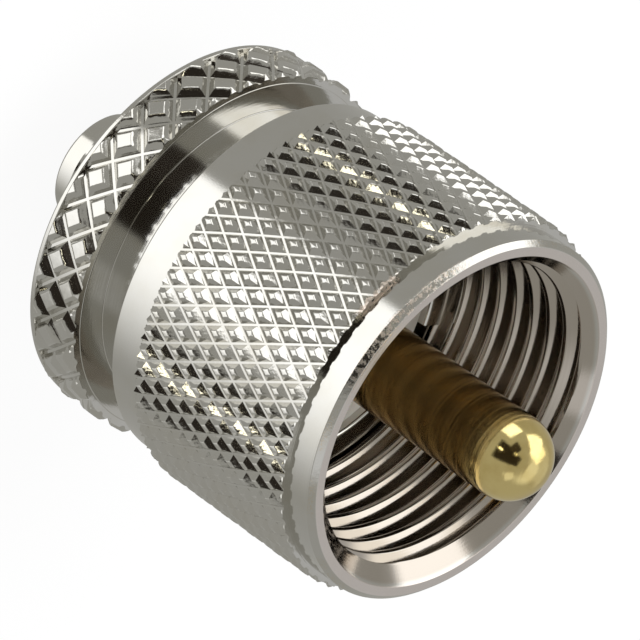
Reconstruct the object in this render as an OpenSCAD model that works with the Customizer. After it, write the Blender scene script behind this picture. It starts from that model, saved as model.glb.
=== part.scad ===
// UHF plug to small screw socket adapter, with its knurled coupling ring
// Sizes in millimetres. +Z runs along the axis, from the rear socket's end to the tip of the pin.
// The rear socket's flat end sits on Z = 0.

/* [Which piece] */
// the piece to draw, or all of them

/* [Coupling ring] */
// radius of the plain bands at both ends of the ring
ring_band_r = 8.9; // [8:0.05:10]
// length of the ring, end to end
ring_len = 13.0; // [11:0.1:16]
// height of the ring's rear face above the socket's end
ring_z = 10.95; // [9:0.05:13]
// chamfer round the front edge
ring_front_bevel = 0.25; // [0.1:0.05:0.6]
// edge break round the rear edge
ring_rear_bevel = 0.12; // [0.05:0.01:0.4]
// radius of the mouth at the front face
ring_mouth_r = 8.2; // [8:0.05:8.6]
// radius of the plain relief behind the thread
ring_relief_r = 8.0; // [7.95:0.05:8.3]
// thickness of the lip that holds the ring on the body
lip_len = 1.4; // [1:0.05:2.5]

/* [Coupling thread] */
// 24 threads to the inch
thread_pitch = 1.0583; // [1:0.0001:1.1]
// radius at the bottom of the grooves
thread_major_r = 7.94; // [7.9:0.01:8]
// radius over the crests
thread_minor_r = 7.37; // [7.3:0.01:7.5]
// grooves cut, from the mouth inwards
thread_turns = 8; // [5:1:9]
// flat left on each crest
thread_crest = 0.3; // [0.1:0.01:0.4]
// flat at the bottom of each groove
thread_root = 0.14; // [0.05:0.01:0.3]

/* [Fine knurl on the ring] */
// grooves of each hand round the ring
fine_teeth = 62; // [40:1:80]
// rows of crossings rolled along the ring, the first and last cut off
fine_rows = 13; // [8:1:15]
// angle of the grooves to the axis
fine_angle = 29.5; // [20:0.5:45]
// radius over the diamonds' tips
fine_crest_r = 9.35; // [9:0.01:10]
// depth of the grooves
fine_depth = 0.3; // [0.1:0.01:0.35]
// side of a diamond's flat tip as a share of its cell
fine_tip = 0.26; // [0.1:0.01:0.6]
// height of the first row above the socket's end
fine_z = 12.49; // [12:0.01:13]
// turn of the pattern about the axis
fine_phase = 1.5; // [0:0.1:6]
// length of the plain band behind the knurl
rear_band_len = 1.8; // [1.5:0.01:2.5]
// length of the plain band in front of the knurl
front_band_len = 1.51; // [1.4:0.01:2.5]

/* [Coarse knurl on the flange] */
// grooves of each hand round the flange
coarse_teeth = 28; // [20:1:40]
// rows of crossings along the flange
coarse_rows = 4; // [3:1:5]
// angle of the grooves to the axis
coarse_angle = 45.5; // [30:0.5:50]
// how far its flat tops lie inside the ring's tips
coarse_step = 0.13; // [0.05:0.01:0.4]
// depth of the grooves
coarse_depth = 0.4; // [0.1:0.01:0.5]
// side of a diamond's flat top as a share of its cell
coarse_tip = 0.54; // [0.1:0.01:0.7]
// height of the first row above the socket's end
coarse_z = 5.92; // [5.8:0.01:6]
// turn of the pattern about the axis
coarse_phase = 3; // [0:0.1:13]
// height of the plain rim left in front of it
coarse_rim = 0.06; // [0.05:0.01:0.3]

/* [Rear body] */
// height of the flange's rear face
flange_z = 5.7; // [4:0.05:8]
// thickness of the flange
flange_len = 2.9; // [2:0.05:5]
// how far the flange's plain core lies below the grooves
flange_core_step = 0.1; // [0.05:0.01:0.5]
// how far the plain land behind the coarse knurl lies below its tops
flange_land_step = 0.12; // [0.05:0.01:0.3]
// length of that land
flange_land_len = 0.3; // [0.2:0.05:0.6]
// edge break at the rear of the land
flange_bevel = 0.15; // [0.05:0.05:0.3]
// radius of the hub in front of the flange
hub_r = 7.36; // [7:0.02:8]
// fillet, cut as a bevel, between the hub and the flange
hub_bevel = 0.2; // [0.05:0.05:0.5]
// depth of the seat for the front shell
seat_len = 1.8; // [1:0.05:2.5]
// radius of that seat
seat_r = 6.3; // [6:0.05:6.6]

/* [Rear socket] */
// radius of the plain nose
nose_r = 2.72; // [2.6:0.01:2.75]
// length of the nose
nose_len = 0.8; // [0.3:0.05:1.2]
// edge break on the nose
nose_bevel = 0.15; // [0.05:0.05:0.3]
// radius over the socket's outside thread
socket_major_r = 3.17; // [3.1:0.01:3.2]
// radius at the bottom of its grooves
socket_minor_r = 2.74; // [2.6:0.01:2.8]
// 36 threads to the inch
socket_pitch = 0.7056; // [0.7:0.0001:0.71]
// turns of the socket's thread
socket_turns = 5; // [4:1:6]
// radius of the open well in the socket's end
well_r = 2.31; // [2.3:0.01:2.35]
// depth of that well
well_len = 1.9; // [1.8:0.01:2]
// radius of the bore for the rear insulator
rear_bore_r = 2.05; // [2:0.01:2.1]

/* [Front shell] */
// radius of the shoulder that the ring's lip bears on
shoulder_r = 7.2; // [7:0.02:7.3]
// height of the shell's front face
shell_front_z = 15.8; // [15:0.05:17]
// radius of the neck that the lip turns on
neck_r = 6.82; // [6.5:0.01:7]
// radius of the bore for the front insulator
shell_bore_r = 5.9; // [5.4:0.05:6]
// edge break inside the shell's mouth
shell_bevel = 0.15; // [0.05:0.05:0.3]
// width of the two locating notches in the shell's front face
notch_w = 1.2; // [0.8:0.1:2]
// depth of the notches
notch_len = 0.7; // [0.4:0.1:1.2]
// angle of the notches about the axis
notch_angle = 20; // [0:5:180]

/* [Pin, insulators and contact] */
// radius of the centre pin
pin_r = 1.99; // [1.9:0.01:2.05]
// height of the pin's tip
pin_tip_z = 28.84; // [27:0.05:31]
// radius of the pin's tail inside the insulator
pin_tail_r = 1.4; // [1:0.05:1.8]
// height of the tail's end
pin_tail_z = 9.4; // [9:0.05:11]
// radius of the collar at the pin's foot
pin_collar_r = 2.35; // [2.1:0.05:3]
// length of that collar
pin_collar_len = 0.8; // [0.4:0.05:1.5]
// how far the front insulator's face lies behind the shell's
insulator_recess = 0.45; // [0.2:0.05:1]
// outside radius of the socket contact
contact_r = 0.635; // [0.6:0.005:0.7]
// radius of the contact's bore
contact_bore_r = 0.47; // [0.45:0.01:0.5]
// depth of the contact's bore
contact_bore_len = 2.9; // [2.5:0.1:3.5]
// width of the slots in the contact
slot_w = 0.14; // [0.1:0.01:0.2]
// length of the slots
slot_len = 2.0; // [1.5:0.1:2.5]
// height of the contact's front end, inside the pin
contact_top_z = 11.4; // [10:0.1:13]

/* [Clearances] */
// radial clearance between the ring's lip and the neck
lip_clear = 0.06; // [0.01:0.01:0.1]
// gap between the lip and the shoulder
shoulder_gap = 0.1; // [0.05:0.01:0.3]
// gap between the ring's rear face and the hub
hub_gap = 0.2; // [0.1:0.01:0.6]

/* [Hidden] */
$fn = 96;
ring_top = ring_z + ring_len;
lip_top = ring_z + lip_len;
lip_r = neck_r + lip_clear;
shoulder_z = lip_top + shoulder_gap;
flange_top = flange_z + flange_len;
hub_top = ring_z - hub_gap;
seat_z = hub_top - seat_len;
insulator_top = shell_front_z - insulator_recess;
knurl_root = 0.4;
knurl_sink = 0.03;
fine_root_r = fine_crest_r - fine_depth;
fine_low_z = ring_z + rear_band_len;
fine_high_z = ring_top - front_band_len;
coarse_crest_r = fine_crest_r - coarse_step;
coarse_root_r = coarse_crest_r - coarse_depth;
coarse_low_z = flange_z + flange_land_len - knurl_sink;
coarse_high_z = flange_top - coarse_rim;
flange_core_r = coarse_root_r - flange_core_step;
flange_land_r = coarse_crest_r - flange_land_step;
cut = 1;

// knurled sleeve: two crossing sets of grooves that leave a flat-topped diamond in every cell

function spot(r, a, z) = [r * cos(a), r * sin(a), z];

// a four-sided patch as two triangles
function patch(a, b, c, d) = [[a, b, c], [a, c, d]];

// height between two rows, from the grooves' angle
function row_step(r, teeth, angle) = PI * r / teeth / tan(angle);

module knurl(r_in, root, crest, teeth, rows, angle, tip_share, z, phase) {
  step = 360 / teeth;
  rise = row_step(crest, teeth, angle);
  last = rows - 1;
  cells = rows * teeth;
  ends = 5 * cells;

  // crossings of the grooves
  crossings = [for (k = [0:last]) for (i = [0:teeth - 1])
    spot(root, phase + (i + (k % 2) / 2) * step, z + k * rise)];

  // four corners of each diamond's tip: left, right, below, above
  side = tip_share * step / 2;
  lift = tip_share * rise;
  tips = [for (k = [0:last]) for (i = [0:teeth - 1])
    let (a = phase + (i + 0.5 + (k % 2) / 2) * step, h = z + k * rise)
    each [spot(crest, a - side, h), spot(crest, a + side, h),
          spot(crest, a, h - lift), spot(crest, a, h + lift)]];

  // rings at both ends, outer then inner
  odd = last % 2 / 2;
  rings = [for (i = [0:teeth - 1]) each [
    spot(root, phase + i * step, z - rise),
    spot(r_in, phase + i * step, z - rise),
    spot(root, phase + (i + odd) * step, z + (last + 1) * rise),
    spot(r_in, phase + i * step, z + (last + 1) * rise)]];

  function left(k, i) = k * teeth + i;
  function right(k, i) = k * teeth + (i + 1) % teeth;
  function over(k, i) = (k + 1) * teeth + (i + k % 2) % teeth;
  function under(k, i) = (k - 1) * teeth + (i + k % 2) % teeth;
  function corner(k, i, n) = cells + 4 * (k * teeth + i) + n;
  function end_spot(i, n) = ends + 4 * (i % teeth) + n;

  middle = [for (k = [1:last - 1]) for (i = [0:teeth - 1]) each concat(
    patch(corner(k, i, 3), corner(k, i, 1), corner(k, i, 2), corner(k, i, 0)),
    patch(over(k, i), right(k, i), corner(k, i, 1), corner(k, i, 3)),
    patch(right(k, i), under(k, i), corner(k, i, 2), corner(k, i, 1)),
    patch(under(k, i), left(k, i), corner(k, i, 0), corner(k, i, 2)),
    patch(left(k, i), over(k, i), corner(k, i, 3), corner(k, i, 0)))];

  bottom = [for (i = [0:teeth - 1]) each concat(
    [[corner(0, i, 3), corner(0, i, 1), corner(0, i, 0)]],
    patch(over(0, i), right(0, i), corner(0, i, 1), corner(0, i, 3)),
    patch(left(0, i), over(0, i), corner(0, i, 3), corner(0, i, 0)),
    [[end_spot(i, 0), left(0, i), corner(0, i, 0)],
     [end_spot(i, 0), corner(0, i, 0), corner(0, i, 1)],
     [end_spot(i, 0), corner(0, i, 1), end_spot(i + 1, 0)],
     [end_spot(i + 1, 0), corner(0, i, 1), right(0, i)]],
    patch(end_spot(i, 0), end_spot(i + 1, 0), end_spot(i + 1, 1), end_spot(i, 1)))];

  top = [for (i = [0:teeth - 1]) each concat(
    [[corner(last, i, 0), corner(last, i, 1), corner(last, i, 2)]],
    patch(right(last, i), under(last, i), corner(last, i, 2), corner(last, i, 1)),
    patch(under(last, i), left(last, i), corner(last, i, 0), corner(last, i, 2)),
    [[end_spot(i, 2), corner(last, i, 0), left(last, i)],
     [end_spot(i, 2), corner(last, i, 1), corner(last, i, 0)],
     [end_spot(i, 2), end_spot(i + 1, 2), corner(last, i, 1)],
     [end_spot(i + 1, 2), right(last, i), corner(last, i, 1)]],
    patch(end_spot(i, 2), end_spot(i, 3), end_spot(i + 1, 3), end_spot(i + 1, 2)))];

  bore = [for (i = [0:teeth - 1]) each
    patch(end_spot(i, 1), end_spot(i + 1, 1), end_spot(i + 1, 3), end_spot(i, 3))];

  polyhedron(points = concat(crossings, tips, rings), faces = concat(middle, bottom, top, bore));
}

// cuts a knurled sleeve off square at both ends
module cut_ends(low, high, r) {
  intersection() {
    children();
    translate([0, 0, low]) cylinder(r = r, h = high - low);
  }
}

// coupling ring: nickel-plated brass, one turned, threaded and knurled piece

thread_flank = (thread_pitch - thread_crest - thread_root) / 2;
thread_top = ring_top - (ring_mouth_r - thread_minor_r);

module coupling_ring_section() {
  polygon(concat(
    [[lip_r, ring_z + ring_rear_bevel],
     [lip_r + ring_rear_bevel, ring_z],
     [ring_band_r - ring_rear_bevel, ring_z],
     [ring_band_r, ring_z + ring_rear_bevel],
     [ring_band_r, ring_top - ring_front_bevel],
     [ring_band_r - ring_front_bevel, ring_top],
     [ring_mouth_r, ring_top],
     [thread_minor_r, thread_top]],
    [for (k = [0:thread_turns - 1])
      let (h = thread_top - thread_crest - k * thread_pitch)
      each [[thread_minor_r, h],
            [thread_major_r, h - thread_flank],
            [thread_major_r, h - thread_flank - thread_root],
            [thread_minor_r, h - 2 * thread_flank - thread_root]]],
    [[thread_minor_r, thread_top - thread_turns * thread_pitch - thread_crest],
     [ring_relief_r, thread_top - thread_turns * thread_pitch - 2 * thread_crest],
     [ring_relief_r, lip_top],
     [lip_r, lip_top]]));
}

module coupling_ring() {
  color([0.76, 0.74, 0.7]) {
    rotate_extrude() coupling_ring_section();
    cut_ends(fine_low_z, fine_high_z, fine_crest_r + cut)
      knurl(ring_band_r - knurl_root, fine_root_r, fine_crest_r, fine_teeth, fine_rows,
            fine_angle, fine_tip, fine_z, fine_phase);
  }
}

// front shell: shoulder, neck and a tail that sits in the rear body

module front_shell() {
  color([0.72, 0.7, 0.66])
  difference() {
    rotate_extrude()
      polygon([[shell_bore_r, seat_z],
               [seat_r, seat_z],
               [seat_r, hub_top],
               [neck_r, hub_top],
               [neck_r, shoulder_z],
               [shoulder_r, shoulder_z],
               [shoulder_r, shell_front_z - shell_bevel],
               [shoulder_r - shell_bevel, shell_front_z],
               [shell_bore_r + shell_bevel, shell_front_z],
               [shell_bore_r, shell_front_z - shell_bevel]]);
    for (side = [0, 180])
      rotate([0, 0, notch_angle + side])
        translate([shell_bore_r - cut / 2, -notch_w / 2, shell_front_z - notch_len])
          cube([shoulder_r - shell_bore_r + cut, notch_w, notch_len + cut]);
  }
}

// rear body: flange, hub and threaded socket in one turned piece

socket_crest = socket_pitch / 6;
socket_flank = socket_pitch / 3;

module rear_body_section() {
  thread_low = nose_len + (socket_major_r - nose_r) * 0.7;
  polygon(concat(
    [[well_r, 0],
     [nose_r - nose_bevel, 0],
     [nose_r, nose_bevel],
     [nose_r, nose_len],
     [socket_major_r, thread_low]],
    [for (k = [0:socket_turns - 1])
      let (h = thread_low + socket_crest + k * socket_pitch)
      each [[socket_major_r, h],
            [socket_minor_r, h + socket_flank],
            [socket_minor_r, h + socket_pitch - socket_crest - socket_flank],
            [socket_major_r, h + socket_pitch - socket_crest]]],
    [[socket_major_r, thread_low + socket_turns * socket_pitch + socket_crest],
     [socket_minor_r, thread_low + socket_turns * socket_pitch + socket_crest + 0.3],
     [socket_minor_r, flange_z],
     [flange_land_r - flange_bevel, flange_z],
     [flange_land_r, flange_z + flange_bevel],
     [flange_land_r, flange_z + flange_land_len],
     [flange_core_r, flange_z + flange_land_len],
     [flange_core_r, flange_top],
     [hub_r + hub_bevel, flange_top],
     [hub_r, flange_top + hub_bevel],
     [hub_r, hub_top],
     [seat_r, hub_top],
     [seat_r, seat_z],
     [rear_bore_r, seat_z],
     [rear_bore_r, well_len],
     [well_r, well_len]]));
}

module rear_body() {
  color([0.76, 0.74, 0.7]) {
    rotate_extrude() rear_body_section();
    cut_ends(coarse_low_z, coarse_high_z, coarse_crest_r + cut)
      knurl(flange_core_r - knurl_root, coarse_root_r, coarse_crest_r, coarse_teeth, coarse_rows,
            coarse_angle, coarse_tip, coarse_z, coarse_phase);
  }
}

// insulators

module front_insulator() {
  color([0.86, 0.84, 0.8])
  rotate_extrude()
    polygon([[pin_tail_r, seat_z],
             [shell_bore_r, seat_z],
             [shell_bore_r, insulator_top],
             [pin_tail_r, insulator_top]]);
}

module rear_insulator() {
  color([0.93, 0.93, 0.91])
  rotate_extrude()
    polygon([[contact_r, well_len],
             [rear_bore_r, well_len],
             [rear_bore_r, seat_z],
             [contact_r, seat_z]]);
}

// centre pin: a solid round-nosed pin with a collar at its foot and a tail in the insulator

module centre_pin() {
  color([0.72, 0.58, 0.3])
  difference() {
    union() {
      translate([0, 0, pin_tip_z - pin_r]) sphere(r = pin_r);
      translate([0, 0, insulator_top]) cylinder(r = pin_r, h = pin_tip_z - pin_r - insulator_top);
      translate([0, 0, insulator_top]) cylinder(r = pin_collar_r, h = pin_collar_len);
      translate([0, 0, pin_tail_z]) cylinder(r = pin_tail_r, h = insulator_top - pin_tail_z + 0.5);
    }
    translate([0, 0, pin_tail_z - cut]) cylinder(r = contact_r, h = contact_top_z - pin_tail_z + cut);
  }
}

// socket contact: a slotted tube at the rear whose front end sits in the pin

module socket_contact() {
  color([0.8, 0.64, 0.32])
  difference() {
    translate([0, 0, well_len]) cylinder(r = contact_r, h = contact_top_z - well_len);
    translate([0, 0, well_len - cut]) cylinder(r = contact_bore_r, h = contact_bore_len + cut);
    for (turn = [0, 90])
      rotate([0, 0, turn])
        translate([-cut, -slot_w / 2, well_len - cut])
          cube([2 * cut, slot_w, slot_len + cut]);
  }
}

coupling_ring();
front_shell();
rear_body();
front_insulator();
centre_pin();
rear_insulator();
socket_contact();
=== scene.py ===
import math
import random
import bpy
import bmesh
from mathutils import Matrix, Vector


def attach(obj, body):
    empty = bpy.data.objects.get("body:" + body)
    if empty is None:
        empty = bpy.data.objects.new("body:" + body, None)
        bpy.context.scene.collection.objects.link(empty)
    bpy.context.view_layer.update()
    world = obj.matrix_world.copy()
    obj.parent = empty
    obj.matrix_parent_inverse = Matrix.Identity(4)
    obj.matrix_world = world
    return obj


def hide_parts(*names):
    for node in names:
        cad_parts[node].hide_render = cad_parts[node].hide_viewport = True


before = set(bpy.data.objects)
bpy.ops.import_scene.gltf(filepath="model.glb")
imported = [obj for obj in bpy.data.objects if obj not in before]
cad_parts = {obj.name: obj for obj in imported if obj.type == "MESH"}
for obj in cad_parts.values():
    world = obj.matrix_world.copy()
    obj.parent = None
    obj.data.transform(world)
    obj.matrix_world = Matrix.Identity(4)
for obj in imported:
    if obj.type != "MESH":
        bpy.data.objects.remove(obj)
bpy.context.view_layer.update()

mm = 0.001
near = 1e-4  # closer than this, two heights in millimetres are the same
chance = random.Random(11)
print("frame loaded with", ", ".join(sorted(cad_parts)))


# shader sockets that take part in plain arithmetic

class Wire:
    def __init__(self, finish, socket):
        self.finish, self.socket = finish, socket

    def maths(self, operation, first, second):
        return self.finish.node("Math", {"operation": operation}, {0: first, 1: second})

    def __add__(self, other):
        return self.maths("ADD", self, other)

    def __radd__(self, other):
        return self.maths("ADD", other, self)

    def __sub__(self, other):
        return self.maths("SUBTRACT", self, other)

    def __rsub__(self, other):
        return self.maths("SUBTRACT", other, self)

    def __mul__(self, other):
        return self.maths("MULTIPLY", self, other)

    def __truediv__(self, other):
        return self.maths("DIVIDE", self, other)

    def ramp(self, low, high):  # 0 below low, 1 above high, smooth between
        kind = {"interpolation_type": "SMOOTHSTEP"}
        return self.finish.node("MapRange", kind, {"Value": self, "From Min": low, "From Max": high})


class Finish:
    def __init__(self, name, tree=None):
        if tree is None:
            self.material = bpy.data.materials.new(name)
            self.material.use_nodes = True
            tree = self.material.node_tree
        self.tree = tree
        self.tree.nodes.clear()

    def node(self, kind, settings=None, sockets=None, out=0):
        made = self.tree.nodes.new("ShaderNode" + kind)
        for key, value in (settings or {}).items():
            setattr(made, key, value)
        for key, value in (sockets or {}).items():
            if isinstance(value, Wire):
                self.tree.links.new(value.socket, made.inputs[key])
            elif hasattr(value, "__len__") and made.inputs[key].type == "RGBA":
                made.inputs[key].default_value = (*value, 1)
            else:
                made.inputs[key].default_value = value
        return Wire(self, made.outputs[out]) if made.outputs else None

    def place(self):  # the point in millimetres, on the piece itself
        spot = self.node("TexCoord", out="Object")
        return self.node("VectorMath", {"operation": "SCALE"}, {0: spot, "Scale": 1 / mm})

    def parts(self, spot):
        made = self.node("SeparateXYZ", {}, {0: spot})
        return [Wire(self, socket) for socket in made.socket.node.outputs]

    def fromAxis(self, x, y):
        return self.node("Math", {"operation": "SQRT"}, {0: x * x + y * y})

    def joined(self, x, y, z):
        return self.node("CombineXYZ", {}, {0: x, 1: y, 2: z})

    def noise(self, spot, scale, detail=2.0, rough=0.5):
        sockets = {"Vector": spot, "Scale": scale, "Detail": detail, "Roughness": rough}
        return self.node("TexNoise", {}, sockets)

    def mix(self, share, first, second):
        return self.node("Mix", {"data_type": "RGBA"}, {0: share, 6: first, 7: second}, out=2)

    def surface(self, shader):
        self.node("OutputMaterial", {}, {"Surface": shader})
        return self.material

    def metal(self, base, rough, bump):
        normal = self.node("Bump", {}, bump)
        sockets = {"Base Color": base, "Metallic": 1.0, "Roughness": rough, "Normal": normal}
        return self.surface(self.node("BsdfPrincipled", {}, sockets))

    def shownRays(self):  # rays from the camera, and mirrored or passed-through ones
        seen = self.node("LightPath", out="Is Camera Ray")
        paths = seen.socket.node.outputs
        bounced = Wire(self, paths["Is Glossy Ray"]) + Wire(self, paths["Is Transmission Ray"])
        return seen + bounced


def placed(name, data):
    made = bpy.data.objects.new(name, data)
    bpy.context.scene.collection.objects.link(made)
    return made


# turned, knurled and threaded shapes, in millimetres

def rounded(profile, steps=3):
    # a corner with a third number is rounded to that radius
    made = []
    for index, corner in enumerate(profile):
        if len(corner) == 2:
            made.append(tuple(corner))
            continue
        here = Vector(corner[:2])
        back = (Vector(profile[index - 1][:2]) - here).normalized()
        on = (Vector(profile[(index + 1) % len(profile)][:2]) - here).normalized()
        half = back.angle(on) / 2
        start = here + back * (corner[2] / math.tan(half))
        centre = here + (back + on).normalized() * (corner[2] / math.sin(half))
        arm = start - centre
        turn = math.pi - 2 * half
        if back.x * on.y - back.y * on.x > 0:
            turn = -turn
        for step in range(steps + 1):
            angle = turn * step / steps
            c, s = math.cos(angle), math.sin(angle)
            made.append((centre.x + arm.x * c - arm.y * s, centre.y + arm.x * s + arm.y * c))
    return made


def crispNormals(mesh, limit, power=1.5):
    # every corner leans like the largest faces that meet it smoothly, so small roundings don't tilt them
    faces = [(face.normal.copy(), (face.area / mm / mm) ** power) for face in mesh.polygons]
    around = [[] for vertex in mesh.vertices]
    for face in mesh.polygons:
        for vertex in face.vertices:
            around[vertex].append(faces[face.index])
    made = []
    for face in mesh.polygons:
        for vertex in face.vertices:
            lean = Vector()
            for normal, weight in around[vertex]:
                if normal.dot(face.normal) > limit:
                    lean += normal * weight
            made.append(lean.normalized() if lean.length > 0 else face.normal.copy())
    mesh.normals_split_custom_set(made)


class Turning:
    def __init__(self):
        self.points, self.faces = [], []

    def spot(self, radius, angle, height):
        self.points.append((radius * math.cos(angle), radius * math.sin(angle), height))
        return len(self.points) - 1

    def revolve(self, profile, steps=240, closed=True):
        rows = []
        for radius, height in profile:
            if radius < 1e-6:
                rows.append([self.spot(0, 0, height)] * steps)
            else:
                turns = (2 * math.pi * i / steps for i in range(steps))
                rows.append([self.spot(radius, turn, height) for turn in turns])
        pairs = list(zip(rows, rows[1:])) + ([(rows[-1], rows[0])] if closed else [])
        for low, high in pairs:
            for i in range(steps):
                j = (i + 1) % steps
                face = [low[i], low[j], high[j], high[i]]
                self.faces.append([v for n, v in enumerate(face) if v not in face[:n]])

    def knurl(self, spec):
        # every diamond between four grooves is a grid, folded along its diagonals
        teeth, step = spec["teeth"], 2 * math.pi / spec["teeth"]
        rise = math.pi * spec["crest"] / teeth / math.tan(math.radians(spec["angle"]))
        cuts = [0, *spec["cuts"], 0.5]
        places = cuts + [1 - c for c in reversed(cuts[:-1])]
        sinks = spec["depths"] + spec["depths"][-2::-1]
        dents = spec["dents"] + spec["dents"][-2::-1]
        size = len(places) - 1
        around = teeth * size
        mesh = bmesh.new()
        seen = {}
        lift = {}

        def corner(cellU, cellV, a, b):
            u, v = cellU * size + a, cellV * size + b
            turns = u // around
            key = (u - turns * around, v - turns * around)
            if key not in seen:
                cell = (cellU % teeth, (cellV - cellU))
                if cell not in lift:
                    lift[cell] = chance.uniform(-1, 1)
                realU = cellU + places[a]
                realV = cellV + places[b]
                sink = max(sinks[a], sinks[b])
                dent = min(dents[a], dents[b]) * (1 + spec["spread"] * lift[cell])
                uneven = spec["uneven"] * (1 + lift[cell]) * (sink < spec["grooveStart"])
                radius = spec["crest"] - sink - dent - uneven
                height = spec["z"] + rise * (realV - realU)
                lean = spec["lean"] * (height - spec["middle"])
                angle = step * (realU + realV) / 2 + spec["phase"] + lean
                seen[key] = mesh.verts.new((radius * math.cos(angle), radius * math.sin(angle), height))
            return seen[key]

        first = math.floor((spec["low"] - spec["z"]) / rise) - 1
        last = math.ceil((spec["high"] - spec["z"]) / rise) + 1
        for row in range(first, last + 1):
            for i in range(teeth):
                for a in range(size):
                    for b in range(size):
                        square = (a, b), (a + 1, b), (a + 1, b + 1), (a, b + 1)
                        ring = [corner(i, i + row, *place) for place in square]
                        if (a < size / 2) == (b < size / 2):
                            folds = (ring[0], ring[1], ring[2]), (ring[0], ring[2], ring[3])
                        else:
                            folds = (ring[0], ring[1], ring[3]), (ring[1], ring[2], ring[3])
                        for fold in folds:
                            mesh.faces.new(fold)
        # each end is cut flat, coned towards the cut and closed down to endRadius
        for height, up, cone in ((spec["high"], 1, spec["highCone"]), (spec["low"], -1, spec["lowCone"])):
            endCrest, length = cone
            for cut, clear in ((height, True), (height - up * length, False)):
                everything = mesh.verts[:] + mesh.edges[:] + mesh.faces[:]
                bmesh.ops.bisect_plane(mesh, geom=everything, plane_co=(0, 0, cut), plane_no=(0, 0, up),
                                       clear_outer=clear)
            for v in mesh.verts:
                share = abs(v.co.z - height) / length
                scale = (endCrest + (spec["crest"] - endCrest) * share) / math.hypot(v.co.x, v.co.y)
                if share < 1 and scale < 1:
                    v.co = Vector((v.co.x * scale, v.co.y * scale, v.co.z))
            rim = [e for e in mesh.edges
                   if e.is_boundary and all(abs(v.co.z - height) < near for v in e.verts)]
            skirt = bmesh.ops.extrude_edge_only(mesh, edges=rim)["geom"]
            for v in skirt:
                if isinstance(v, bmesh.types.BMVert):
                    scale = spec["endRadius"] / math.hypot(v.co.x, v.co.y)
                    v.co = Vector((v.co.x * scale, v.co.y * scale, height + up * spec["endSlope"]))
        bmesh.ops.recalc_face_normals(mesh, faces=mesh.faces[:])
        mesh.verts.index_update()
        start = len(self.points)
        self.points += [tuple(v.co) for v in mesh.verts]
        self.faces += [[start + v.index for v in f.verts] for f in mesh.faces]
        mesh.free()

    def thread(self, spec):
        # one strip of the groove's section wound along a right-hand helix, then trimmed
        steps, pitch = spec["steps"], spec["pitch"]
        datum = {"crest": spec["crest"], "root": spec["root"]}
        shape = [(share, datum[start] + step) for share, start, step in spec["groove"]]
        pick = max if spec["inside"] else min
        turns = math.ceil((spec["high"] - spec["low"]) / pitch) + 2
        rows = []
        for a in range(steps * turns + 1):
            angle = 2 * math.pi * a / steps
            base = spec["low"] - pitch + pitch * a / steps
            row = []
            for share, radius in shape:
                height = min(max(base + share * pitch, spec["low"]), spec["high"])
                row.append(self.spot(pick(radius, spec["limit"](height)), angle, height))
            rows.append(row)
        for low, high in zip(rows, rows[1:]):
            for j in range(len(shape) - 1):
                face = [low[j], high[j], high[j + 1], low[j + 1]]
                heights = {round(self.points[v][2], 6) for v in face}
                if heights != {round(spec["low"], 6)} and heights != {round(spec["high"], 6)}:
                    self.faces.append(face)

    def piece(self, name, finish, body, node, sharp=35.0):
        mesh = bpy.data.meshes.new(name)
        used = sorted({v for face in self.faces for v in face})
        order = {v: n for n, v in enumerate(used)}
        spots = [[c * mm for c in self.points[v]] for v in used]
        mesh.from_pydata(spots, [], [[order[v] for v in face] for face in self.faces])
        work = bmesh.new()
        work.from_mesh(mesh)
        bmesh.ops.remove_doubles(work, verts=work.verts[:], dist=near * mm)
        bmesh.ops.recalc_face_normals(work, faces=work.faces[:])
        work.to_mesh(mesh)
        work.free()
        mesh.polygons.foreach_set("use_smooth", [True] * len(mesh.polygons))
        crispNormals(mesh, math.cos(math.radians(sharp)))
        mesh.materials.append(finish)
        made = placed(name, mesh)
        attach(made, body)
        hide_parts(node)
        return made


# finishes

# inside is a darker, browner colour painted into the ring's bore as shade
nickelLook = {"colour": (0.605, 0.596, 0.562), "brass": (0.62, 0.44, 0.2), "inside": (0.5, 0.455, 0.4),
              "rubbed": (0.7, 0.62, 0.57), "nicked": (0.96, 0.84, 0.74), "rough": 0.07,
              "stain": (0.93, 0.91, 0.86), "knurled": (8.95, 9.01), "dimpled": 4.0}
# masks of the ring's wear and of the painted shade inside its bore: radii and heights in millimetres, then
# how straight a point faces the nicks
wearAndBoreShade = {"bore": (8.0, 8.15), "faceStart": (8.1, 8.2), "faceEnd": (8.6, 8.66), "chamfer": (8.56, 8.64),
        "scuffStart": (22.15, 22.3), "scuffEnd": (22.44, 22.5), "towards": (0.966, 0.259),
        "nicked": (0.86, 0.98), "scuffed": (0.988, 0.994)}


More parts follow.
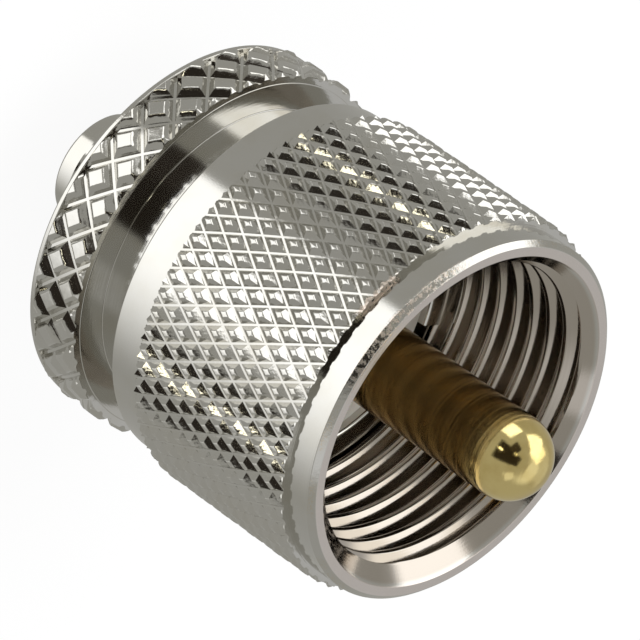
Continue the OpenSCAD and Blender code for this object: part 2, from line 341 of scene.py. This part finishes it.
def nickel(name, wornRadius, wornHeight):
    look = nickelLook
    finish = Finish(name)
    spot = finish.place()
    x, y, z = finish.parts(spot)
    radius = finish.fromAxis(x, y)
    lathe = finish.noise(finish.joined(radius * 9.0, 0.0, z * 9.0), 1.0, 3.0)
    cloud = finish.noise(spot, 0.55, 3.0)
    grit = finish.noise(spot, 14.0, 2.0)
    dimples = radius.ramp(*look["knurled"]) * finish.noise(spot, 3.2, 3.0)
    height = lathe + grit * 0.5 + dimples * look["dimpled"]
    rough = look["rough"] + cloud * 0.04 + grit * 0.03
    stain = cloud.ramp(0.35, 0.75) * 0.5
    base = finish.mix(stain, look["colour"], tuple(c * s for c, s in zip(look["colour"], look["stain"])))
    if wornHeight:
        # a worn edge, nicks on the front chamfer, a scuff where the knurl ends, the rubbed front face, and
        # painted shade inside the bore
        edge = radius.ramp(wornRadius - 0.3, wornRadius) * z.ramp(wornHeight - 0.35, wornHeight - 0.1)
        worn = edge * grit.ramp(0.5, 0.62) * cloud.ramp(0.42, 0.6)
        speck = finish.noise(spot, 5.0, 4.0, 0.7)
        toNicks = (x * wearAndBoreShade["towards"][0] - y * wearAndBoreShade["towards"][1]) / radius
        onChamfer = radius.ramp(*wearAndBoreShade["chamfer"]) * z.ramp(wornHeight - 0.4, wornHeight - 0.26)
        nicks = onChamfer * speck.ramp(0.5, 0.56) * toNicks.ramp(*wearAndBoreShade["nicked"])
        scuffBand = z.ramp(*wearAndBoreShade["scuffStart"]) * (1 - z.ramp(*wearAndBoreShade["scuffEnd"]))
        scuff = toNicks.ramp(*wearAndBoreShade["scuffed"]) * scuffBand * speck.ramp(0.36, 0.5)
        onFace = radius.ramp(*wearAndBoreShade["faceStart"]) * (1 - radius.ramp(*wearAndBoreShade["faceEnd"]))
        rubbed = onFace * z.ramp(wornHeight - 0.1, wornHeight - 0.03)
        base = finish.mix(worn * 0.4, base, look["brass"])
        # painted shade: inside radius 8.0 to 8.15 mm the bore takes the darker, browner inside colour
        base = finish.mix(1 - radius.ramp(*wearAndBoreShade["bore"]), base, look["inside"])
        base = finish.mix(rubbed * 0.6, base, look["rubbed"])
        base = finish.mix(nicks * 0.8, base, look["nicked"])
        base = finish.mix(scuff * 0.9, base, look["nicked"])
        height = height + lathe * rubbed * 2.0 + nicks * 8.0 + onChamfer * speck * 4.0
        rough = rough + nicks * 0.25 + scuff * 0.35 + rubbed * 0.08
    return finish.metal(base, rough, {"Strength": 0.1, "Distance": 0.02 * mm, "Height": height})


# the shaft colour is a darker brown painted on the pin's shaft as shade, up to shaftEnd
pinLook = {"colour": (0.83, 0.68, 0.3), "dull": (0.72, 0.56, 0.22), "rough": 0.06, "wavy": 0.8,
           "paintedShaftShade": (0.5, 0.33, 0.11), "shaftRough": 0.03, "shaftEnd": (25.6, 26.9)}


def gold(name, look):
    finish = Finish(name)
    spot = finish.place()
    x, y, z = finish.parts(spot)
    radius = finish.fromAxis(x, y)
    lathe = finish.noise(finish.joined(radius * 6.0, 0.0, z * 6.0), 1.0, 3.0)
    cloud = finish.noise(spot, 0.8, 3.0)
    grit = finish.noise(spot, 16.0, 2.0)
    base = finish.mix(cloud.ramp(0.35, 0.75), look["colour"], look["dull"])
    rough = look["rough"] + cloud * 0.06 + grit * 0.02
    # painted shade: the pin's shaft, below shaftEnd, is coloured a darker brown than its nose
    if "paintedShaftShade" in look:
        shaftShade = 1 - z.ramp(*look["shaftEnd"])
        base = finish.mix(shaftShade, base, look["paintedShaftShade"])
        rough = rough + shaftShade * look["shaftRough"]
    dents = finish.noise(spot, 1.6, 2.0) * look["wavy"]
    height = lathe + grit * 0.3 + dents
    return finish.metal(base, rough, {"Strength": 0.2, "Distance": 0.03 * mm, "Height": height})


insulatorLook = {"colour": (0.62, 0.58, 0.52), "shade": (0.5, 0.46, 0.4), "rough": 0.42}


def waxyPlastic(name, look):
    finish = Finish(name)
    spot = finish.place()
    cloud = finish.noise(spot, 0.9, 4.0)
    grit = finish.noise(spot, 20.0, 2.0)
    base = finish.mix(cloud.ramp(0.3, 0.75), look["colour"], look["shade"])
    bump = finish.node("Bump", {}, {"Strength": 0.25, "Distance": 0.03 * mm, "Height": grit})
    shader = finish.node("BsdfPrincipled", {}, {
        "Base Color": base, "Roughness": look["rough"] + grit * 0.1, "Normal": bump,
        "Subsurface Weight": 0.15, "Subsurface Scale": 0.6 * mm})
    return finish.surface(shader)


# coupling ring: bands, fine knurl and coupling thread

# a groove's points: a share of the pitch, then a step in radius from the crest or from the root
ring = {"band": 8.9, "rear": 10.95, "front": 23.95, "mouth": 8.2, "bevel": 0.25, "rearBevel": 0.12,
        "underKnurl": 8.86, "underStart": 0.12, "underFull": 0.16,
        "lipTop": 12.35, "lip": 6.88, "relief": 8.0, "reliefSlope": 2.0, "threadLow": 14.35}
ringThread = {"inside": True, "pitch": 1.0583, "steps": 180, "crest": 7.37, "root": 7.94,
              "groove": [(0.0, "crest", 0.05), (0.04, "crest", 0.015), (0.09, "crest", 0.002),
                         (0.19, "crest", 0.002), (0.24, "crest", 0.015), (0.28, "crest", 0.05),
                         (0.42, "crest", 0.29), (0.56, "root", -0.05), (0.6, "root", -0.01),
                         (0.68, "root", -0.01), (0.72, "root", -0.05), (0.86, "crest", 0.29),
                         (1.0, "crest", 0.05)]}
fineKnurl = {"teeth": 62, "angle": 29.5, "crest": 9.345, "z": 12.49, "phase": math.radians(1.5),
             "lean": math.radians(0.12), "middle": 17.5, "low": 12.75, "high": 22.4,
             "cuts": [0.06, 0.31, 0.39], "depths": [0.24, 0.24, 0.03, 0.004, 0.0],
             "dents": [0.0, 0.0, 0.0, 0.0, 0.016], "spread": 0.6, "uneven": 0.006, "grooveStart": 0.1,
             "endRadius": 8.88, "endSlope": 0.02, "lowCone": (8.97, 0.12), "highCone": (9.2, 0.1)}


def couplingRing():
    r = ring
    turned = Turning()
    low, high = fineKnurl["low"], fineKnurl["high"]
    wall = ringThread["root"] + 0.02
    coneLow = r["front"] + wall - r["mouth"]
    turned.revolve(rounded([
        (r["lip"], r["rear"], 0.1), (r["band"], r["rear"], r["rearBevel"]),
        (r["band"], low + r["underStart"]), (r["underKnurl"], low + r["underFull"]),
        (r["underKnurl"], high - r["underFull"]), (r["band"], high - r["underStart"]),
        (r["band"], r["front"] - r["bevel"], 0.05), (r["band"] - r["bevel"], r["front"], 0.05),
        (r["mouth"], r["front"], 0.04), (wall, coneLow),
        (wall + 0.01, r["threadLow"]), (r["relief"], r["threadLow"] - 0.05),
        (r["relief"], r["lipTop"], 0.08), (r["lip"], r["lipTop"], 0.08)]))
    turned.knurl(fineKnurl)

    def mouthCone(height):
        return max(height - (r["front"] - r["mouth"]),
                   r["relief"] - r["reliefSlope"] * (height - r["threadLow"]))
    turned.thread({**ringThread, "low": r["threadLow"], "high": coneLow, "limit": mouthCone})
    finish = nickel("ringNickel", r["band"], r["front"])
    made = turned.piece("ring_turned", finish, "ring", "coupling_ring")
    print("coupling ring:", len(made.data.polygons), "faces")


couplingRing()


# front shell with its two locating notches

shell = {"bore": 5.9, "front": 15.8, "shoulder": 7.2, "shoulderRear": 12.45, "neck": 6.82, "rear": 10.75,
         "notchWidth": 1.2, "notchDepth": 0.7, "notchTurn": 20.0, "notchRadius": 6.5,
         "facets": 240, "clearOfWall": 0.9, "wall": 0.12}  # the last two in degrees


def frontShell():
    s = shell
    turned = Turning()
    profile = rounded([
        (s["bore"], s["rear"]), (s["neck"], s["rear"]), (s["neck"], s["shoulderRear"], 0.05),
        (s["shoulder"], s["shoulderRear"], 0.1), (s["shoulder"], s["front"], 0.15),
        (s["bore"], s["front"], 0.18)], 4)
    half = math.degrees(s["notchWidth"] / 2 / s["notchRadius"])
    turns = [360 / s["facets"] * i for i in range(s["facets"])]
    for side in (0, 180):
        for edge in (-half, half):
            centre = s["notchTurn"] + side + edge
            turns = [t for t in turns if abs(t - centre) > s["clearOfWall"]]
            turns += [centre - s["wall"], centre + s["wall"]]
    turns.sort()
    rows = []
    for turn in turns:
        off = min(abs((turn - s["notchTurn"] - side + 180) % 360 - 180) for side in (0, 180))
        top = s["front"] - (s["notchDepth"] if off < half else 0)
        angle = math.radians(turn)
        rows.append([turned.spot(radius, angle, min(height, top)) for radius, height in profile])
    for row, after in zip(rows, rows[1:] + rows[:1]):
        for j in range(len(profile)):
            k = (j + 1) % len(profile)
            turned.faces.append([row[j], after[j], after[k], row[k]])
    finish = nickel("shellNickel", 0, 0)
    turned.piece("shell_turned", finish, "connector_body", "front_shell")
    print("front shell done")


frontShell()


# rear body: hub, coarse-knurled flange and the small threaded socket

rear = {"flangeLow": 5.7, "flangeTop": 8.6, "core": 8.7, "land": 9.1, "landLength": 0.3, "hub": 7.36,
        "hubTop": 10.75, "seat": 6.3, "seatLow": 8.95, "nose": 2.72, "noseLength": 0.8, "neck": 2.74,
        "under": 0.05, "underTop": 5.0, "neckLow": 5.1, "threadStart": 0.15, "threadHigh": 5.05,
        "endSlope": 1.6, "well": 2.31, "wellDepth": 1.9, "bore": 2.05}
rearThread = {"inside": False, "pitch": 0.7056, "steps": 96, "crest": 3.17, "root": 2.74,
              "groove": [(0.0, "crest", -0.01), (0.04, "crest", 0.0), (0.14, "crest", 0.0),
                         (0.18, "crest", -0.01), (0.38, "crest", -0.25), (0.52, "root", 0.01),
                         (0.58, "root", 0.0), (0.64, "root", 0.01), (0.8, "crest", -0.25),
                         (1.0, "crest", -0.01)]}
coarseKnurl = {"teeth": 28, "angle": 45.5, "crest": 9.215, "z": 5.92, "phase": math.radians(3.0),
               "lean": 0.0, "middle": 7.0, "low": 5.97, "high": 8.57,
               "cuts": [0.045, 0.17, 0.24, 0.3], "depths": [0.34, 0.34, 0.13, 0.035, 0.0, 0.0],
               "dents": [0.0, 0.0, 0.0, 0.0, 0.0, 0.03], "spread": 0.6, "uneven": 0.006, "grooveStart": 0.1,
               "endRadius": 8.66, "endSlope": 0.01, "lowCone": (9.0, 0.1), "highCone": (9.0, 0.2)}


def rearBody():
    b = rear
    turned = Turning()
    low, high = b["noseLength"] + b["threadStart"], b["threadHigh"]
    underThread, underKnurl = b["neck"] - b["under"], b["core"] - b["under"]
    landTop = b["flangeLow"] + b["landLength"]
    turned.revolve(rounded([
        (b["well"], 0.0, 0.08), (b["nose"], 0.0, 0.15), (b["nose"], b["noseLength"]),
        (underThread, b["noseLength"] + 0.1), (underThread, b["underTop"]), (b["neck"], b["neckLow"]),
        (b["neck"], b["flangeLow"], 0.1), (b["land"], b["flangeLow"], 0.12),
        (b["land"], landTop, 0.04), (underKnurl, landTop), (underKnurl, b["flangeTop"] - 0.2),
        (b["core"], b["flangeTop"] - 0.15), (b["core"], b["flangeTop"], 0.08),
        (b["hub"], b["flangeTop"], 0.05), (b["hub"], b["hubTop"], 0.08), (b["seat"], b["hubTop"]),
        (b["seat"], b["seatLow"]), (b["bore"], b["seatLow"]), (b["bore"], b["wellDepth"]),
        (b["well"], b["wellDepth"], 0.05)]))
    turned.knurl(coarseKnurl)

    def ends(height):
        return min(rearThread["crest"], b["nose"] + (height - low) * b["endSlope"] + 0.02,
                   rearThread["root"] - 0.06 + (high - height) * b["endSlope"])
    turned.thread({**rearThread, "low": low, "high": high, "limit": ends})
    finish = nickel("bodyNickel", 0, 0)
    turned.piece("body_turned", finish, "connector_body", "rear_body")
    print("rear body done")


rearBody()


# centre pin and socket contact

pin = {"radius": 1.99, "tip": 28.84, "foot": 15.35, "collar": 2.35, "collarLength": 0.8,
       "tail": 1.4, "tailLow": 9.4, "noseSteps": 28}


def centrePin():
    p = pin
    turned = Turning()
    nose = [(p["radius"] * math.cos(a), p["tip"] - p["radius"] + p["radius"] * math.sin(a))
            for a in (math.pi / 2 * i / p["noseSteps"] for i in range(p["noseSteps"] + 1))]
    collarTop = p["foot"] + p["collarLength"]
    profile = rounded([
        (p["tail"], p["tailLow"]), (p["tail"], p["foot"]), (p["collar"], p["foot"]),
        (p["collar"], collarTop, 0.25), (p["radius"], collarTop, 0.2),
        nose[0]])[:-1] + nose[:-1] + [(0.0, p["tip"])]
    turned.revolve([(0.0, p["tailLow"])] + profile, steps=128, closed=False)
    turned.piece("pin_turned", gold("pinGold", pinLook), "connector_body", "centre_pin", 50.0)
    print("centre pin done")


centrePin()
contactLook = {"colour": (0.86, 0.68, 0.3), "dull": (0.7, 0.5, 0.2), "rough": 0.16, "wavy": 0.5}
rearInsulatorLook = {"colour": (0.84, 0.83, 0.8), "shade": (0.76, 0.74, 0.7), "rough": 0.36}
for nodeName, made in (("socket_contact", gold("contactGold", contactLook)),
                       ("front_insulator", waxyPlastic("insulatorCream", insulatorLook)),
                       ("rear_insulator", waxyPlastic("insulatorWhite", rearInsulatorLook))):
    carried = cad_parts[nodeName]
    carried.data.materials.clear()
    carried.data.materials.append(made)


# camera at the photograph's angle: front is where the ring's front rim lies in the camera's own
# millimetres, frontHeight is that rim's height on the part, and focus is in the photograph's pixels

view = {"tilt": 55.477, "turn": 35.204, "front": (6.0661, 4.3765, 369.91), "frontHeight": 23.75,
        "focus": 8524.0, "pixels": 640, "sensor": 36.0}


def aimCamera():
    tilt, turn = math.radians(view["tilt"]), math.radians(view["turn"])
    axis = Vector((math.sin(tilt) * math.cos(turn), math.sin(tilt) * math.sin(turn), -math.cos(tilt)))
    back = Vector((0, 0, -1))
    side = (back - axis * back.dot(axis)).normalized()
    third = axis.cross(side)
    toCamera = Matrix((side, third, axis)).transposed()   # object to camera, y down and z away
    toObject = toCamera.transposed()
    start = Vector(view["front"]) - axis * view["frontHeight"]
    place = toObject @ -start * mm
    right, up, away = (toObject @ Vector(v) for v in ((1, 0, 0), (0, -1, 0), (0, 0, 1)))
    lens = bpy.data.cameras.new("photoCamera")
    lens.sensor_width = view["sensor"]
    lens.lens = view["focus"] / view["pixels"] * view["sensor"]
    lens.clip_start, lens.clip_end = 0.05, 5.0
    camera = placed("photoCamera", lens)
    turned = Matrix((right, up, -away)).transposed()
    camera.matrix_world = Matrix.Translation(place) @ turned.to_4x4()
    bpy.context.scene.camera = camera


aimCamera()
print("camera set")


# floor, white background and the studio that the metal mirrors

studio = {"tent": (0.43, 0.425, 0.4), "radius": 0.45, "middle": 0.0175, "lampDistance": 0.4,
          "floor": 3, "floorGrey": (0.82, 0.82, 0.82), "floorShown": 0.9, "background": 1.02, "fill": 0.6,
          "lamps": {"keyLamp": {"azimuth": 290, "elevation": 55, "energy": 0.9, "size": 0.25},
                    "fillLamp": {"azimuth": 60, "elevation": 35, "energy": 0.5, "size": 0.35}}}
# what the metal mirrors, by direction in degrees: across and up say how far from a shape's azimuth
# and elevation it starts, is full, starts to fade and has gone
mirrored = {
    "ceiling": {"light": (0.82, 0.82, 0.82), "azimuth": 185, "across": (-130, -60, 60, 110),
                "elevation": 0, "up": (42, 62, 91, 92)},
    "rearGlow": {"light": (0.6, 0.6, 0.6), "azimuth": 200, "across": (-45, -25, 40, 60),
                 "elevation": 35, "up": (-20, -8, 20, 25)},
    "sideGlow": {"light": (1.6, 1.55, 1.45), "azimuth": 240, "across": (-22, -12, 25, 50),
                 "elevation": 42, "up": (-16, -8, 22, 28)},
    "leftBox": {"light": (1.75, 1.75, 1.75), "azimuth": 0, "across": (-33, -27, 15, 100),
                "elevation": -40, "up": (-20, -12, 12, 18)},
    "topBox": {"light": (2.0, 2.0, 2.0), "azimuth": 304, "across": (-20, -14, 14, 20),
               "elevation": -8, "up": (-17, -13, 12, 18)},
    "rightBox": {"light": (2.0, 2.0, 2.0), "azimuth": 264, "across": (-28, -20, 16, 22),
                 "elevation": 38, "up": (-28, -18, 18, 26)},
    "smallLamp": {"light": (0.78, 0.78, 0.78), "azimuth": 68, "across": (-18, -8, 10, 20),
                  "elevation": 45, "up": (-14, -6, 8, 16)},
    "darkCamera": {"light": (0.03, 0.025, 0.02), "azimuth": 1, "across": (-26, -21, 21, 26),
                   "elevation": 33, "up": (-40, -33, 26, 36)},
    "darkArm": {"light": (0.05, 0.042, 0.035), "azimuth": 330, "across": (-15, -13, 12, 16),
                "elevation": 36, "up": (-16, -12, 8, 12)},
    "flash": {"light": (2.2, 2.1, 1.7), "azimuth": 342, "across": (-5, -3, 3, 5),
              "elevation": 46, "up": (-4, -3, 3, 4)},
    "lowFlash": {"light": (3.4, 3.2, 2.5), "azimuth": 357.5, "across": (-2.6, -1.8, 1.8, 2.6),
                 "elevation": 8, "up": (-9, -6, 5, 9)}}


def direction(azimuth, elevation):
    a, e = math.radians(azimuth), math.radians(elevation)
    return Vector((math.cos(a) * math.cos(e), math.sin(a) * math.cos(e), math.sin(e)))


def tentWalls():
    finish = Finish("tentWalls")
    away = finish.node("VectorMath", {"operation": "NORMALIZE"}, {0: finish.node("TexCoord", out="Object")})
    x, y, z = finish.parts(away)
    azimuth = finish.node("Math", {"operation": "ARCTAN2"}, {0: y, 1: x}) * math.degrees(1)
    elevation = finish.node("Math", {"operation": "ARCSINE"}, {0: z}) * math.degrees(1)
    light = studio["tent"]
    for shape in mirrored.values():
        wrap = {0: azimuth - shape["azimuth"], 1: 180.0, 2: -180.0}
        aside = finish.node("Math", {"operation": "WRAP"}, wrap)
        above = elevation - shape["elevation"]
        share = 1.0
        for place, edges in ((aside, shape["across"]), (above, shape["up"])):
            share = place.ramp(edges[0], edges[1]) * (1 - place.ramp(edges[2], edges[3])) * share
        light = finish.mix(share, light, shape["light"])
    made = finish.surface(finish.node("Emission", {}, {"Color": light}))
    made.cycles.emission_sampling = "NONE"
    return made


def buildStudio():
    tent = bpy.data.meshes.new("tent")
    ball = bmesh.new()
    bmesh.ops.create_icosphere(ball, subdivisions=4, radius=studio["radius"])
    ball.to_mesh(tent)
    ball.free()
    tent.materials.append(tentWalls())
    wall = placed("tent", tent)
    wall.location = (0, 0, studio["middle"])
    wall.visible_camera = False
    wall.visible_diffuse = False
    wall.visible_shadow = False
    wall.visible_transmission = False
    for name, spec in studio["lamps"].items():
        lamp = bpy.data.lights.new(name, "AREA")
        lamp.energy, lamp.size = spec["energy"], spec["size"]
        made = placed(name, lamp)
        out = direction(spec["azimuth"], spec["elevation"])
        aimed = out.to_track_quat("Z", "Y").to_matrix().to_4x4()
        made.matrix_world = Matrix.Translation(out * studio["lampDistance"]) @ aimed
        made.visible_glossy = False

    floorMesh = bpy.data.meshes.new("floor")
    size, most = studio["floor"], studio["floorShown"]
    corners = ((-size, -size, 0), (size, -size, 0), (size, size, 0), (-size, size, 0))
    floorMesh.from_pydata(corners, [], [(0, 1, 2, 3)])
    finish = Finish("paleFloor")
    plain = finish.node("BsdfDiffuse", {}, {"Color": studio["floorGrey"]})
    white = finish.node("Emission", {}, {"Color": (1, 1, 1), "Strength": studio["background"]})
    shown = finish.node("Math", {"operation": "MINIMUM"}, {0: finish.shownRays() * most, 1: most})
    floorMesh.materials.append(finish.surface(finish.node("MixShader", {}, {0: shown, 1: plain, 2: white})))
    ground = placed("floor", floorMesh)
    ground.visible_glossy = False

    world = bpy.data.worlds.new("studio")
    bpy.context.scene.world = world
    world.use_nodes = True
    sky = Finish("studio", world.node_tree)
    shown = sky.node("Math", {"operation": "MINIMUM"}, {0: sky.shownRays(), 1: 1.0})
    level = shown * (studio["background"] - studio["fill"]) + studio["fill"]
    glow = sky.node("Background", {}, {"Color": (1, 1, 1), "Strength": level})
    sky.node("OutputWorld", {}, {"Surface": glow})


buildStudio()
bpy.context.scene.view_settings.view_transform = "Standard"
print("studio built")
